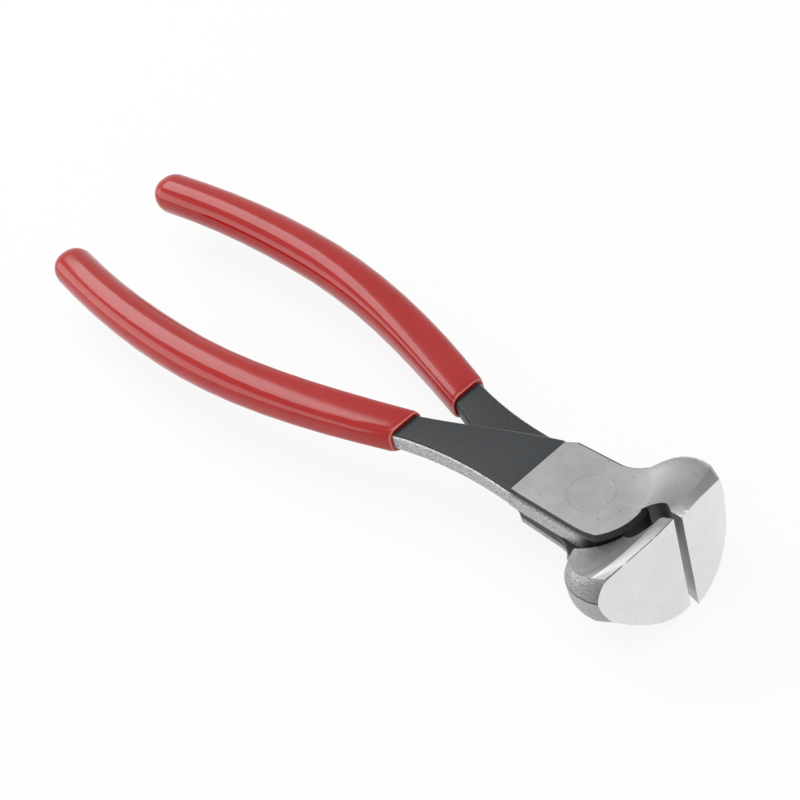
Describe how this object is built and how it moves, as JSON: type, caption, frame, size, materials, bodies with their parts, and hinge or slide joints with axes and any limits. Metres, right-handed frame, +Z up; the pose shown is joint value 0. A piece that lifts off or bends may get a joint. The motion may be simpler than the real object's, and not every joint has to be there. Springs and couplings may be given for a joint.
{
  "type": "end cutting nippers",
  "caption": "Long-handled end cutting nippers with a flared oval head, lapped rivet joint, round throat behind the cutting edges and dipped plastic grips.",
  "frame": {"origin": "centre of the overall box on the floor plane under the jaws", "axes": "+X from the grip ends towards the cutting edges, +Y across the tool, +Z up along the rivet axis"},
  "size_m": [0.1999, 0.0548, 0.0292],
  "materials": {
    "lever_steel": "black forged shanks with bright ground head and jaws",
    "rivet_steel": "ground flush",
    "grip_plastic": "glossy red dipped plastic"
  },
  "bodies": {
    "lower_arm": {"lower_lever": "lever_steel", "pivot_rivet": "rivet_steel", "lower_grip": "grip_plastic"},
    "upper_arm": {"upper_lever": "lever_steel", "upper_grip": "grip_plastic"}
  },
  "joints": [
    {"name": "jaw_hinge", "type": "hinge", "parent": "lower_arm", "child": "upper_arm", "pos_m": [0.073, 0, 0.0146], "axis": [0, 0, 1], "range_deg": [-4.8, 20]}
  ]
}
